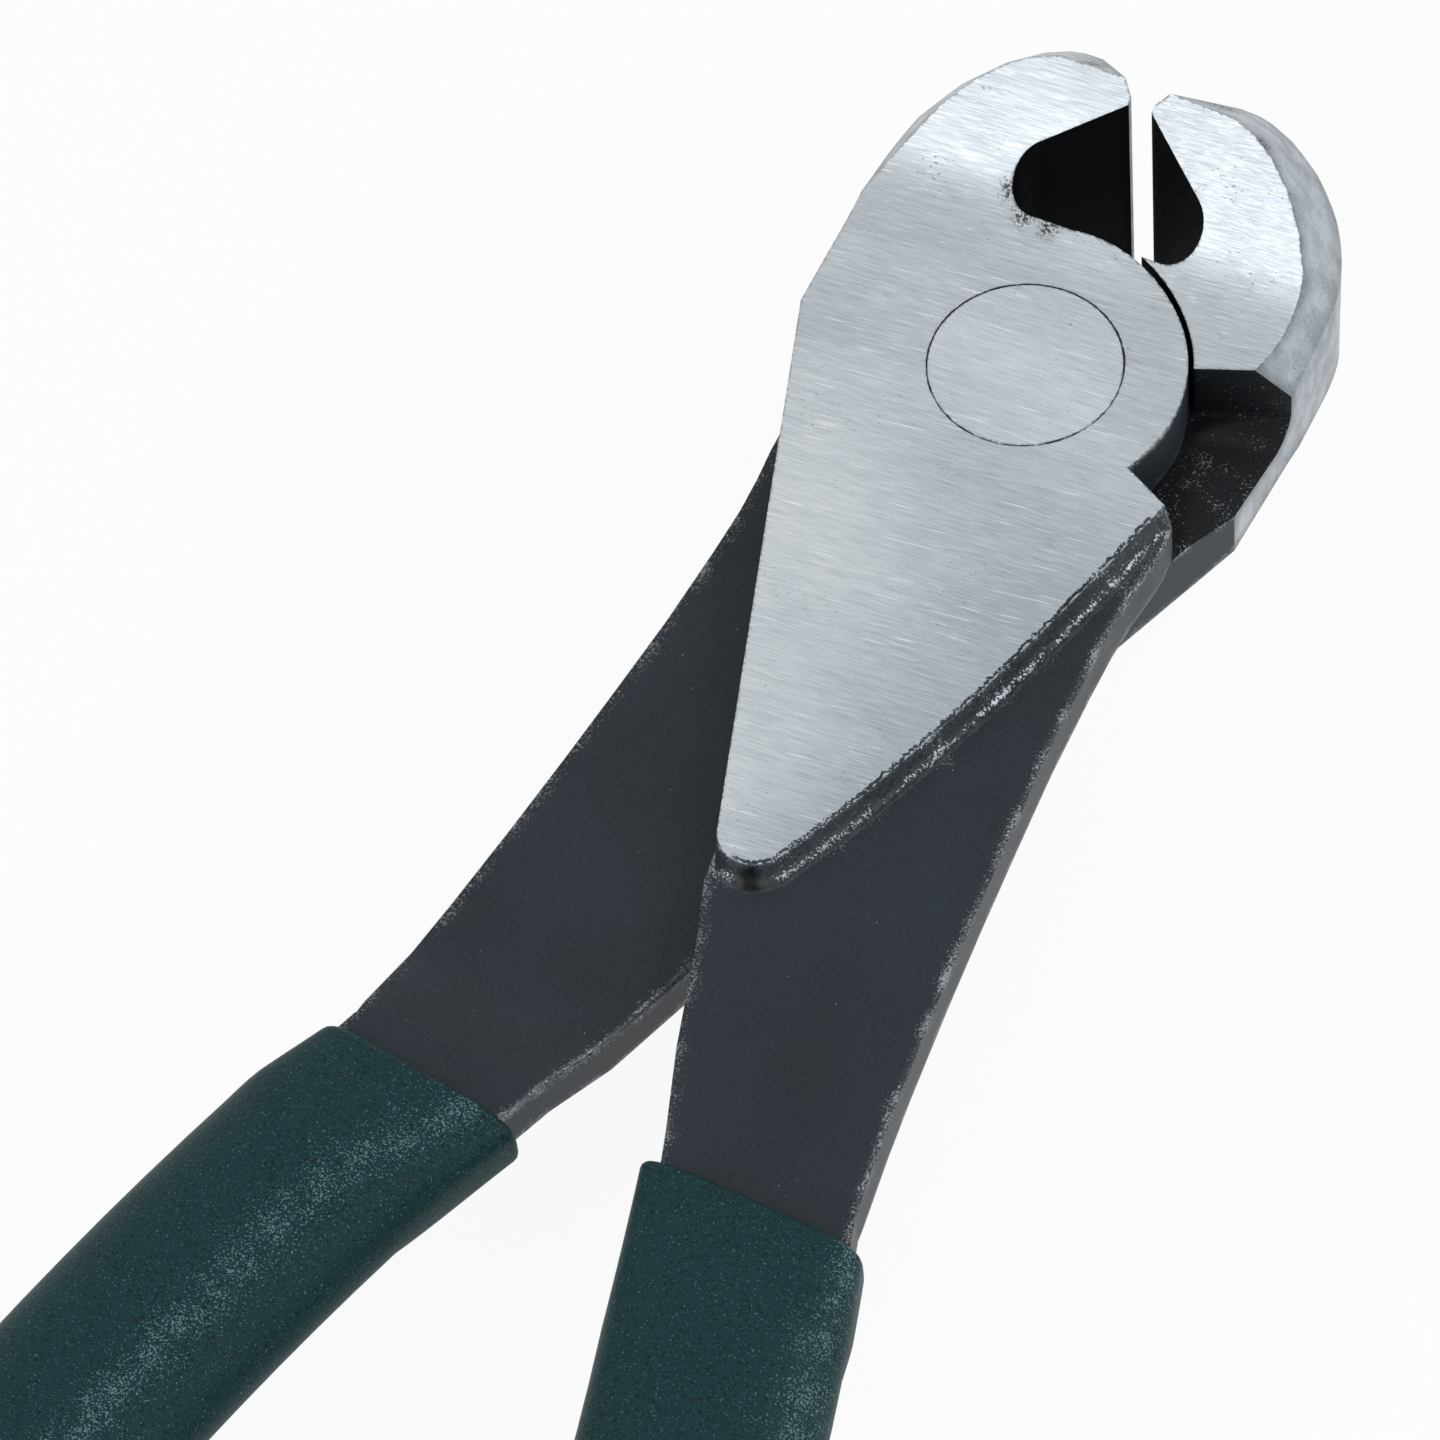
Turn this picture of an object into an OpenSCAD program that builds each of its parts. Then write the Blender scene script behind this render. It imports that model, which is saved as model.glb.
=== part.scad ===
// End cutting nippers: two identical forged halves, lapped and riveted, with dipped grips.
// Millimetres. The rivet's axis is Z, the jaws point along +Y, and the origin is on the
// rivet's axis, level with the lower cheek. Each half is drawn closed, about the middle plane.

/* [Joint] */
// Thickness of the joint, from cheek to cheek
joint_t = 12.4; // [10:0.1:15]
// Radius of the round lap of each half
lap_r = 13.2; // [12:0.1:15]
// Gap between the two laps
lap_gap = 0.1; // [0.06:0.02:0.3]
// Gap between a lap and the seat in the other half's jaw
seat_gap = 0.45; // [0.3:0.05:0.8]
// Diameter of the rivet's flush heads
rivet_head_d = 16; // [12:0.5:18]
// Thickness of each rivet head
rivet_head_t = 2.2; // [1.5:0.1:3]
// Diameter of the rivet's shank
rivet_shank_d = 10; // [7:0.5:11]
// Running clearance round the rivet
rivet_fit = 0.05; // [0.02:0.01:0.09]
// Angle between the shoulder of a half and the line across the pivot
notch_angle = 27.6; // [24:0.2:32]
// Angle between the root of a jaw and the line across the pivot
root_angle = 24.7; // [20:0.1:28]
// Angle at which the jaws stand open
rest_open = 3.8; // [1:0.1:20]

/* [Jaws] */
// Distance of the cutting edges ahead of the pivot
edge_reach = 22.4; // [21:0.1:24]
// Gap between the cutting edges while the handles stand square, before the jaws close
edge_gap = 0.6; // [0.2:0.05:1]
// Width of the ground land along each cutting edge
edge_land = 0.5; // [0.2:0.1:1]
// Slope of the outer bevel that leads to each cutting edge
edge_bevel = 48; // [40:0.5:54]
// Distance of the nose ahead of the pivot
nose_reach = 28; // [26:0.1:29]
// Half of the width over both jaws
jaw_half_w = 19.6; // [18:0.1:21]
// Radius of the round shoulder of each jaw
shoulder_r = 13; // [11:0.1:15]
// Distance ahead of the pivot where the jaws start to flare
flare_start = 8; // [6:0.5:10]
// Radius of the sweep from the cheek into the flare
flare_r = 12; // [8:0.5:16]
// Slope of the flare
flare_angle = 40; // [30:1:44]
// Depth of the hollow in each jaw, from the meeting plane
hollow_depth = 7.9; // [6:0.1:9]
// Radius of the hollow's round end
hollow_r = 2.6; // [1.8:0.1:3.2]
// Wall between the lap's centre and the hollow
hollow_floor = 13.1; // [12.8:0.05:13.4]
// Height of the front bevel's lower edge over the middle plane
nose_bevel_z = 10.6; // [9:0.1:12]
// Drop of the shoulder bevel's lower edge below the cheek, at the flank
bevel_drop = 1; // [0:0.1:2]
// Drop of the bevel over the root of the jaw, on the side away from the neck
root_bevel_drop = 2.3; // [1:0.1:3]
// Angle of the flank bevel from upright
flank_lean = 32; // [28:0.5:45]
// Angle of the front bevel from upright
nose_lean = 43; // [38:0.5:50]
// Depth of the forged scoop at the flank, below the lap face
scoop_depth = 1.9; // [1:0.1:2.4]
// Radius of the scoop's corners
scoop_r = 3; // [2:0.1:3.5]
// Length of the scoop along the neck
scoop_len = 17; // [12:0.5:19]

/* [Cheek and rein] */
// Distance of the cheek's pointed end behind the pivot
cheek_reach = 51.7; // [48:0.1:56]
// Radius of the cheek's pointed end
cheek_tip_r = 3; // [2:0.1:4]
// Offset of the cheek's pointed end from the meeting plane, towards the jaw's side
cheek_tip_off = 1.1; // [0.5:0.1:2]
// Distance of the neck's corner behind the pivot
neck_back = 1.2; // [0.5:0.1:3]
// Radius from the pivot to the cheek's shoulder corner
cheek_corner_r = 17.9; // [16.5:0.1:19]
// Run of the sloped step from the cheek down to the rein
step_run = 0.9; // [0.4:0.1:1.5]
// Thickness of the flat rein
rein_t = 4.2; // [3.5:0.1:5]
// Set of the handle towards the middle plane
rein_set = 1.4; // [0:0.1:2]
// Distance of the rein's outer edge from the meeting plane at its narrowest
rein_out = 16.1; // [15:0.1:17.5]
// Width of the rein under the grip
rein_w = 15.3; // [13:0.1:17]
// Distance from the pivot back to where the handle's curve starts
rein_len = 75; // [70:0.5:85]
// Distance of the handle's centre line from the meeting plane where its curve starts
handle_off = 11.4; // [11:0.1:14]
// Outward slope of the handle where its curve starts
handle_slope = 17.5; // [14:0.5:19]
// Radius of the handle's bow
handle_bow_r = 270; // [230:5:330]
// Length of the bow, without its round end
handle_len = 92; // [70:1:100]

/* [Grips] */
// Width of the grip
grip_w = 18.6; // [18:0.1:21]
// Thickness of the grip
grip_t = 10.4; // [9:0.1:13]
// Thickness of the grip at its rim
grip_rim_t = 7; // [6:0.1:8.5]
// Length over which the grip swells from its rim
grip_swell = 12; // [8:0.5:20]
// Radius of the grip's crowned top and bottom
grip_crown_r = 24; // [18:1:40]
// Distance of the grip's rim behind the pivot
grip_rim = 76.2; // [75:0.1:78]
// Width of the bevel on the narrow sides of the grip's rim
grip_lip = 1; // [0.4:0.1:1.2]
// Clearance between the grip and the rein inside it
grip_fit = 0.05; // [0.02:0.01:0.1]

/* [Hidden] */
$fn = 96;
// Overrun of cuts past the faces they open
over = 1;
// Reach of a cut that clears everything on its side
clear = 3 * jaw_half_w;
half_t = joint_t / 2;
skin = lap_gap / 2;
seat_r = lap_r + seat_gap;
// Sides of the curves inside a hull
hull_sides = 32;
// Thickness of the slices that a hull joins
slice = lap_gap / 4;

// Bevels round each jaw's shoulder, from the flank to the nose, and the one over its root
bevel_count = 6;
flank_turn = 8;
root_turn = -15;
shoulder_at = [shoulder_r - jaw_half_w, nose_reach - shoulder_r];

// The hollow's round end and where the straight side from the edge touches it
hollow_at = [hollow_r - hollow_depth, hollow_floor + hollow_r];
edge_at = [-edge_gap / 2, edge_reach];
land_at = [-edge_gap / 2, edge_reach - edge_land];
hollow_touch = touch(land_at, hollow_at, hollow_r, 1);

// The sweep's end and the height of the flare's line at a distance ahead of the pivot
sweep_end = [flare_start + flare_r * sin(flare_angle), half_t + flare_r * (1 - cos(flare_angle))];
function flare_z(y) = sweep_end[1] + (y - sweep_end[0]) * tan(flare_angle);

// The cheek's corners: neck, pointed end, belly of its long edge, and shoulder
neck_at = [-jaw_half_w, -neck_back];
cheek_tip_at = [-cheek_tip_off, cheek_tip_r - cheek_reach];
cheek_corner = cheek_corner_r * [cos(notch_angle), -sin(notch_angle)];
// The belly of the cheek's long edge: along the straight from the shoulder to the centre of the
// pointed end, and proud of it, both as shares of that straight
belly_shares = [[0.15, 0.022], [0.33, 0.044], [0.5, 0.061], [0.66, 0.072], [0.82, 0.077]];
cheek_run = cheek_tip_at - cheek_corner;
cheek_belly = [for (s = belly_shares) cheek_corner + s[0] * cheek_run + s[1] * [-cheek_run[1], cheek_run[0]]];

// The rein's edges: distance behind the pivot as a share of rein_len, then distance from the
// meeting plane, as a share of rein_out on the outside and of rein_w on the inside
outer_shares = [
    [0.118, 1.04], [0.145, 1.055], [0.175, 1.045], [0.215, 1.02], [0.26, 1.003], [0.32, 1],
    [0.42, 1.006], [0.52, 1.028], [0.62, 1.054], [0.72, 1.085], [0.83, 1.127], [0.9, 1.16]
];
inner_shares = [[0.9, 0.065], [0.83, -0.035], [0.775, -0.115], [0.71, -0.23]];
// Start and end of the rein's set towards the middle plane, as shares of rein_len
set_shares = [0.9, 0.98];

// Centre of the handle's bow, and a point on the bow: its turn, and its offset from the middle
bow_at = [handle_off, -rein_len] - handle_bow_r * [cos(handle_slope), sin(handle_slope)];
function bow_point(turn, off) = bow_at + (handle_bow_r + off) * [cos(turn), sin(turn)];
function bow_turn(run) = handle_slope - run / handle_bow_r * 180 / PI;
end_turn = bow_turn(handle_len);
// The rein's own bow starts a little late, and the grip's a little early
start_turn = bow_turn(rein_w / 8);
rim_turn = bow_turn(-rein_w / 2);
tongue_turn = start_turn - bow_turn(rein_w / 2);

// Where a line from p touches the circle at c, on the left (1) or right (-1) seen from c
function touch(p, c, r, side) =
    let (d = p - c, a = atan2(d[1], d[0]) + side * acos(r / norm(d))) c + r * [cos(a), sin(a)];

// A bevel's value at a turn, between its values at the flank and at the nose
function bevel_at(turn, flank, nose) = flank + (nose - flank) * pow(sin(turn), 2);

// Everything beyond a plane that leans inwards over the jaw's shoulder
module bevel_cut(turn, flank_z) {
    translate(shoulder_at + shoulder_r * [-cos(turn), sin(turn)])
        translate([0, 0, bevel_at(turn, flank_z, nose_bevel_z)])
            rotate([0, -bevel_at(turn, flank_lean, nose_lean), 180 - turn])
                translate([0, -clear / 2, -clear / 2])
                    cube(clear);
}

// The jaw from above: shoulder, flank, outer bevel, cutting edge and hollow
module jaw_plan() {
    difference() {
        union() {
            translate(shoulder_at)
                circle(shoulder_r);
            polygon([
                [-jaw_half_w, shoulder_at[1]], neck_at, [edge_at[0], 0], [edge_at[0], hollow_floor],
                hollow_at, shoulder_at
            ]);
        }
        // Outer bevel
        translate(edge_at)
            rotate(180 - edge_bevel)
                translate([-clear, -clear])
                    square([2 * clear, clear]);
        // Hollow
        translate(hollow_at)
            circle(hollow_r);
        polygon([
            land_at, hollow_touch, hollow_at, [hollow_at[0], hollow_floor],
            [clear, hollow_floor], [clear, land_at[1]]
        ]);
        // Everything past the meeting plane
        translate([edge_at[0], -clear])
            square(2 * clear);
    }
}

// The jaw from the side: level at the joint, then flaring to the nose
module flare_side() {
    for (side = [1, -1])
        scale([1, side])
            difference() {
                polygon([
                    [-clear, 0], [-clear, half_t], [flare_start, half_t], sweep_end,
                    [clear, flare_z(clear)], [clear, 0]
                ]);
                translate([flare_start, half_t + flare_r])
                    circle(flare_r);
            }
}

// Keeps the children between the flare's two faces
module flared() {
    intersection() {
        children();
        translate([-clear, 0, 0])
            rotate([90, 0, 90])
                linear_extrude(2 * clear)
                    flare_side();
    }
}

module jaw() {
    bevelled(0)
        flared()
            translate([0, 0, -clear])
                linear_extrude(2 * clear)
                    jaw_plan();
}

// Cuts the bevels one after another round both shoulders, and last the one over the root
module bevelled(k) {
    difference() {
        if (k < bevel_count)
            bevelled(k + 1)
                children();
        else
            difference() {
                children();
                mirror([0, 0, 1])
                    bevel_cut(root_turn, half_t - root_bevel_drop);
            }
        for (side = [0, 1])
            mirror([0, 0, side])
                bevel_cut(flank_turn + k * (90 - flank_turn) / bevel_count, half_t - bevel_drop);
    }
}

// Room in the lower layer for the other half's lap and shoulder
module lower_room() {
    translate([0, 0, -clear])
        cylinder(r = seat_r, h = clear + skin);
    translate([0, 0, -clear])
        linear_extrude(clear + skin)
            polygon([
                [0, 0], clear * [-cos(root_angle), sin(root_angle)], [-clear, -clear],
                [clear, -clear], [clear, 0]
            ]);
}

// The forged scoop under the neck: a trough with round corners that deepens to the flank
module scoop() {
    tilt = atan(scoop_depth / (jaw_half_w - seat_r));
    rotate([0, 0, 180 - root_angle])
        translate([seat_r, 0, skin])
            rotate([0, -tilt, 0])
                rotate([90, 0, 90])
                    linear_extrude(clear)
                        difference() {
                            translate([0, -clear])
                                square([scoop_len, clear]);
                            for (end = [0, scoop_len])
                                translate([end, 0])
                                    difference() {
                                        square(2 * scoop_r, center = true);
                                        translate([end == 0 ? scoop_r : -scoop_r, -scoop_r])
                                            circle(scoop_r);
                                    }
                        }
}

// Room in the upper layer, past the lap, for the other half's jaw
module upper_room() {
    translate([0, 0, -skin])
        linear_extrude(half_t + over)
            difference() {
                polygon([
                    [0, 0], clear * [cos(notch_angle), -sin(notch_angle)], [clear, clear],
                    [edge_at[0], clear], [edge_at[0], 0]
                ]);
                circle(lap_r);
            }
}

module cheek_plan(out) {
    belly = [for (p = concat([cheek_corner], cheek_belly)) p + [out, 0]];
    polygon(concat(
        belly,
        [touch(belly[len(belly) - 1], cheek_tip_at, cheek_tip_r + out, -1)],
        [touch(neck_at, cheek_tip_at, cheek_tip_r, 1), neck_at]
    ));
    translate(cheek_tip_at)
        circle(cheek_tip_r + out, $fn = hull_sides);
}

// The raised cheek, with its sloped step down to the rein
module cheek() {
    intersection() {
        hull() {
            translate([0, 0, half_t - slice])
                linear_extrude(slice)
                    cheek_plan(0);
            translate([0, 0, rein_t - slice])
                linear_extrude(slice)
                    cheek_plan(step_run);
        }
        // The inner side of the cheek stays upright
        translate([0, 0, rein_t - slice])
            linear_extrude(half_t)
                polygon([
                    neck_at, neck_at + 2 * (touch(neck_at, cheek_tip_at, cheek_tip_r, 1) - neck_at),
                    [clear, -clear], [clear, clear], [neck_at[0], clear]
                ]);
    }
}

// Lap and the full-thickness start of the cheek
module lap_plate() {
    translate([0, 0, skin])
        linear_extrude(half_t - skin)
            polygon([neck_at, cheek_corner, [0, lap_r / 2], [neck_at[0], lap_r / 2]]);
    flared()
        translate([0, 0, skin])
            linear_extrude(joint_t)
                circle(lap_r);
}

// The rein, or the pocket round it: flat beside the cheek, set towards the middle plane, then bowed
module rein(fit) {
    outer = [for (s = outer_shares) [s[1] * rein_out + fit, -s[0] * rein_len]];
    inner = [for (s = inner_shares) [s[1] * rein_w - fit, -s[0] * rein_len]];
    foot = skin - fit;
    top = rein_t + fit;
    intersection() {
        translate([0, 0, -rein_t])
            linear_extrude(3 * rein_t)
                polygon(concat(
                    [neck_at, [0, 0]], outer,
                    // The straight sides end a hair inside the band, and a tongue runs on in it
                    [bow_point(start_turn, rein_w / 2 + fit - skin)],
                    [for (side = [1, -1]) bow_point(start_turn - tongue_turn, side * rein_w / 4)],
                    [bow_point(start_turn, skin - rein_w / 2 - fit)],
                    inner, [touch(neck_at, cheek_tip_at, cheek_tip_r, 1)]
                ));
        translate([-clear, 0, 0])
            rotate([90, 0, 90])
                linear_extrude(3 * clear)
                    polygon([
                        [clear, foot], [clear, top], [-set_shares[0] * rein_len, top],
                        [-set_shares[1] * rein_len, top - rein_set], [-3 * clear, top - rein_set],
                        [-3 * clear, foot - rein_set], [-set_shares[1] * rein_len, foot - rein_set],
                        [-set_shares[0] * rein_len, foot]
                    ]);
    }
    translate([0, 0, foot - rein_set]) {
        bow(start_turn, end_turn)
            translate([-rein_w / 2 - fit, 0])
                square([rein_w + 2 * fit, top - foot]);
        // The round end, a hair narrower than the band
        translate(bow_point(end_turn, 0))
            cylinder(r = rein_w / 2 + fit - skin, h = top - foot);
    }
}

// A section swept along the handle's bow, from one turn to another
module bow(from_turn, to_turn) {
    translate(bow_at)
        rotate([0, 0, to_turn])
            rotate_extrude(angle = from_turn - to_turn, $fn = 6 * $fn)
                translate([handle_bow_r, 0])
                    children();
}

module rivet_space(fit) {
    cylinder(d = rivet_shank_d + 2 * fit, h = joint_t, center = true);
    for (side = [0, 1])
        mirror([0, 0, side])
            translate([0, 0, half_t - rivet_head_t - fit])
                cylinder(d = rivet_head_d + 2 * fit, h = rivet_head_t + fit + (fit > 0 ? over : 0));
}

// One forging: jaw, lap, cheek and rein
module half() {
    difference() {
        union() {
            jaw();
            lap_plate();
            rein(0);
            cheek();
        }
        lower_room();
        scoop();
        upper_room();
        rivet_space(rivet_fit);
    }
}

// Section of the grip, round at the sides and crowned
module grip_section(inset) {
    flat = grip_w - grip_t;
    intersection() {
        union() {
            square([flat, grip_t - 2 * inset], center = true);
            for (side = [-1, 1])
                translate([side * flat / 2, 0])
                    circle(d = grip_t - 2 * inset);
        }
        for (side = [-1, 1])
            translate([0, side * (grip_t / 2 - grip_crown_r)])
                circle(grip_crown_r - inset);
    }
}

module grip_solid() {
    bow(rim_turn, end_turn)
        grip_section(0);
    // The round end, a hair inside the sleeve that it closes
    translate(bow_point(end_turn, 0))
        rotate_extrude()
            intersection() {
                grip_section(grip_fit);
                translate([0, -grip_t])
                    square(2 * grip_t);
            }
}

// The dipped grip: a closed sleeve over the end of the rein, thin at its rim
module grip() {
    rein_mid = (rein_t + skin) / 2 - rein_set;
    difference() {
        translate([0, 0, rein_mid])
            grip_solid();
        rein(grip_fit);
        // Rim square to the tool's length
        translate([-clear, -grip_rim, -clear])
            cube(2 * clear);
        for (side = [-1, 1]) {
            // Swell of the flat sides behind the rim
            translate([0, -grip_rim, rein_mid + side * grip_rim_t / 2])
                rotate([-side * atan((grip_t - grip_rim_t) / 2 / grip_swell), 0, 0])
                    translate([-clear, -clear, side > 0 ? 0 : -clear])
                        cube([2 * clear, 2 * clear, clear]);
            // Bevel of the narrow sides
            translate(bow_point(bow_turn(grip_rim - rein_len), side * (grip_w / 2 - grip_lip)))
                rotate([0, 0, handle_slope + 90 - side * 45])
                    translate([0, -clear / 2, -clear / 2])
                        cube(clear);
        }
    }
}

module upper_place() {
    translate([0, 0, half_t])
        rotate([0, 0, rest_open / 2])
            children();
}

module lower_place() {
    translate([0, 0, half_t])
        rotate([0, 0, -rest_open / 2])
            rotate([0, 180, 0])
                children();
}

module upper_half() {
    color("silver")
        upper_place()
            half();
}

module lower_half() {
    color("darkgray")
        lower_place()
            half();
}

module rivet() {
    color("gainsboro")
        upper_place()
            rivet_space(0);
}

module right_grip() {
    color("darkslategray")
        upper_place()
            grip();
}

module left_grip() {
    color("darkgreen")
        lower_place()
            grip();
}

upper_half();
lower_half();
rivet();
right_grip();
left_grip();
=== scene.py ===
"""End cutting nippers, dressed: two forged halves on a flush rivet, with foam-dipped grips.

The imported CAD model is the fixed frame. It is in metres, +Z runs along the rivet's axis and +Y
points to the jaws. The sizes in the classes are in millimetres and degrees. Each half is described
closed, about the middle plane, and then stands open by half of the rest angle. The lower half is
the upper one turned over.
"""

from __future__ import annotations

import logging
import math
from dataclasses import dataclass
from enum import Enum

import bmesh
import bpy
from mathutils import Matrix, Vector, noise

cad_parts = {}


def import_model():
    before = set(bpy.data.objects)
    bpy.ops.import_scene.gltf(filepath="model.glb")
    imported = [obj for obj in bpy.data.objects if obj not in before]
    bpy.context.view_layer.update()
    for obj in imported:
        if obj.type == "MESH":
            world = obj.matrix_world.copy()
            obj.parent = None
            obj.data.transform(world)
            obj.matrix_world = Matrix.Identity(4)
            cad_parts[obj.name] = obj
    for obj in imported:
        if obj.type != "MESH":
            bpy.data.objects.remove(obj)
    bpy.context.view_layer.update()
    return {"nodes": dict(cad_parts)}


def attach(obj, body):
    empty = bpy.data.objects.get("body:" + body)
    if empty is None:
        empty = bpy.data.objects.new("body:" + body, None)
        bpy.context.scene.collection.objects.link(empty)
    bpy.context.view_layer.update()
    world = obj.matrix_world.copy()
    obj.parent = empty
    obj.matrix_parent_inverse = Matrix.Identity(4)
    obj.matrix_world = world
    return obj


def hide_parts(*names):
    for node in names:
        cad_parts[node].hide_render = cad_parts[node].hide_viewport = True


log = logging.getLogger("nippers")
MM = 0.001
UP = Vector((0.0, 0.0, 1.0))

Material = bpy.types.Material
Object = bpy.types.Object
Socket = bpy.types.NodeSocket
Shape = bmesh.types.BMesh
Pair = tuple[float, float]
Triple = tuple[float, float, float]


def linear(colour: str) -> tuple[float, float, float, float]:
    """Turns an sRGB hex colour to the linear values that a shader takes.

    Args:
        colour: the colour, such as "#BFC4C8".

    Returns:
        Red, green, blue and an alpha of one.
    """
    shares = [int(colour[i : i + 2], 16) / 255 for i in (1, 3, 5)]
    rgb = [s / 12.92 if s <= 0.04045 else ((s + 0.055) / 1.055) ** 2.4 for s in shares]
    return (rgb[0], rgb[1], rgb[2], 1.0)


def limited(value: float) -> float:
    """A value that is kept between 0 and 1."""
    return min(max(value, 0.0), 1.0)


def eased(value: float) -> float:
    """A smooth step from 0 to 1, level at both of its ends."""
    share = limited(value)
    return share * share * (3 - 2 * share)


@dataclass(frozen=True)
class Grain:
    """Noise with grains of a real size, and how it shows."""

    # Length across the tool, along it and up, or one length for all three
    size: float | Triple
    detail: float = 2.0
    # How far the pattern is moved, so that no two coincide
    shift: float = 0.0
    # Where the noise starts to show and where it is full; as it is where they are alike
    start: float = 0.0
    full: float = 0.0
    weight: float = 1.0
    turn: float = 0.0


@dataclass(frozen=True)
class Web:
    """A node tree, with the few steps that the finishes are made of."""

    tree: bpy.types.NodeTree

    @classmethod
    def on(cls, block: Material | bpy.types.World) -> Web:
        """Starts an empty node tree on a material or a world.

        Args:
            block: the material or the world.

        Returns:
            Its node tree.
        """
        block.use_nodes = True
        block.node_tree.nodes.clear()
        return cls(block.node_tree)

    def add(
        self, kind: str, inputs: dict[str | int, object] | None = None, **settings: object
    ) -> bpy.types.Node:
        """Adds a node with its settings, its values and what is linked to it.

        Args:
            kind: the node's type name, without its prefix.
            inputs: for each input, a value, a colour in hex or the socket that feeds it.
            **settings: the node's own properties.

        Returns:
            The new node.
        """
        node = self.tree.nodes.new("ShaderNode" + kind)
        for name, value in settings.items():
            setattr(node, name, value)
        for key, value in (inputs or {}).items():
            if isinstance(value, Socket):
                self.tree.links.new(value, node.inputs[key])
            else:
                plain_value = linear(value) if isinstance(value, str) else value
                node.inputs[key].default_value = plain_value
        return node

    def combine(self, operation: str, *values: Socket | float) -> Socket:
        """Runs one step of arithmetic over two or more values, from the first to the last.

        Args:
            operation: the arithmetic, such as "ADD".
            *values: the sockets and numbers.

        Returns:
            The result.
        """
        total = values[0]
        for value in values[1:]:
            total = self.add("Math", {0: total, 1: value}, operation=operation).outputs[0]
        return total

    def weigh(self, *parts: tuple[Socket, float]) -> Socket:
        """Adds values up, each times its weight."""
        return self.combine("ADD", *(self.combine("MULTIPLY", *part) for part in parts))

    def ramp(self, value: Socket, start: float, full: float) -> Socket:
        """Stretches the part of a value from start to full over 0 to 1, clamped and smooth."""
        inputs = {"Value": value, "From Min": start, "From Max": full}
        return self.add("MapRange", inputs, interpolation_type="SMOOTHSTEP").outputs["Result"]

    def spread(self, value: Socket, start: float, full: float, low: float, high: float) -> Socket:
        """Turns the part of a value from start to full evenly to what is from low to high."""
        inputs = {"Value": value, "From Min": start, "From Max": full, "To Min": low, "To Max": high}
        return self.add("MapRange", inputs).outputs["Result"]

    def blend(self, share: Socket, base: Socket | str, top: str) -> Socket:
        """Lays a top colour over a base by a share from 0 to 1."""
        inputs = {"Factor": share, "A": base, "B": top}
        return self.add("Mix", inputs, data_type="RGBA").outputs["Result"]

    def vector(self, operation: str, first: object, second: object, result: str) -> Socket:
        """One step of arithmetic on two vectors, of which a named result is used."""
        return self.add("VectorMath", {0: first, 1: second}, operation=operation).outputs[result]

    def place(self) -> Socket:
        """The place of a point on the object, in metres."""
        return self.add("TexCoord").outputs["Object"]

    def away(self, x: float, y: float) -> Socket:
        """Distance in metres from a place across and along the tool, seen from above."""
        flat = self.vector("MULTIPLY", self.place(), (1.0, 1.0, 0.0), "Vector")
        return self.vector("DISTANCE", flat, (x * MM, y * MM, 0.0), "Value")

    def grain(self, grain: Grain, turn: float = 0.0) -> Socket:
        """Noise over the object.

        Args:
            grain: the noise's sizes and how it shows.
            turn: a further turn, such as that of the grinding.

        Returns:
            The noise, which is from 0 to 1 about 0.5 before it is stretched and weighed.
        """
        size = grain.size if isinstance(grain.size, tuple) else (grain.size,) * 3
        mapping = self.add(
            "Mapping",
            {
                "Vector": self.place(),
                "Location": (grain.shift * MM,) * 3,
                "Rotation": (0.0, 0.0, math.radians(grain.turn + turn)),
                "Scale": tuple(length * MM for length in size),
            },
            vector_type="TEXTURE",
        )
        inputs = {"Vector": mapping.outputs["Vector"], "Scale": 1.0, "Detail": grain.detail}
        value = self.add("TexNoise", inputs).outputs["Fac"]
        if grain.full > grain.start:
            value = self.ramp(value, grain.start, grain.full)
        return value if grain.weight == 1.0 else self.combine("MULTIPLY", value, grain.weight)

    def rounded(self, radius: float) -> Socket:
        """The direction that the surface would have with its edges rounded."""
        return self.add("Bevel", {"Radius": radius * MM}, samples=4).outputs["Normal"]

    def edge_nearness(self, reach: float) -> Socket:
        """Says how near a point is to an edge.

        Args:
            reach: how far from the edge this goes, in mm.

        Returns:
            A value of about 0.3 on a square edge, which falls to 0 over the reach.
        """
        flat = self.add("NewGeometry").outputs["Normal"]
        dot = self.vector("DOT_PRODUCT", self.rounded(reach), flat, "Value")
        return self.combine("SUBTRACT", 1.0, dot)

    def bump(self, height: Socket, relief: Pair, **base: Socket) -> Socket:
        """Turns a height to a direction, by its strength and depth, over a Normal if one is given."""
        inputs = {"Height": height, "Strength": relief[0], "Distance": relief[1] * MM}
        return self.add("Bump", inputs | base).outputs["Normal"]

    def surface(self, inputs: dict[str, object]) -> None:
        """Puts a Principled shader with these inputs on the material's output."""
        shader = self.add("BsdfPrincipled", inputs)
        self.add("OutputMaterial", {"Surface": shader.outputs["BSDF"]})


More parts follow.
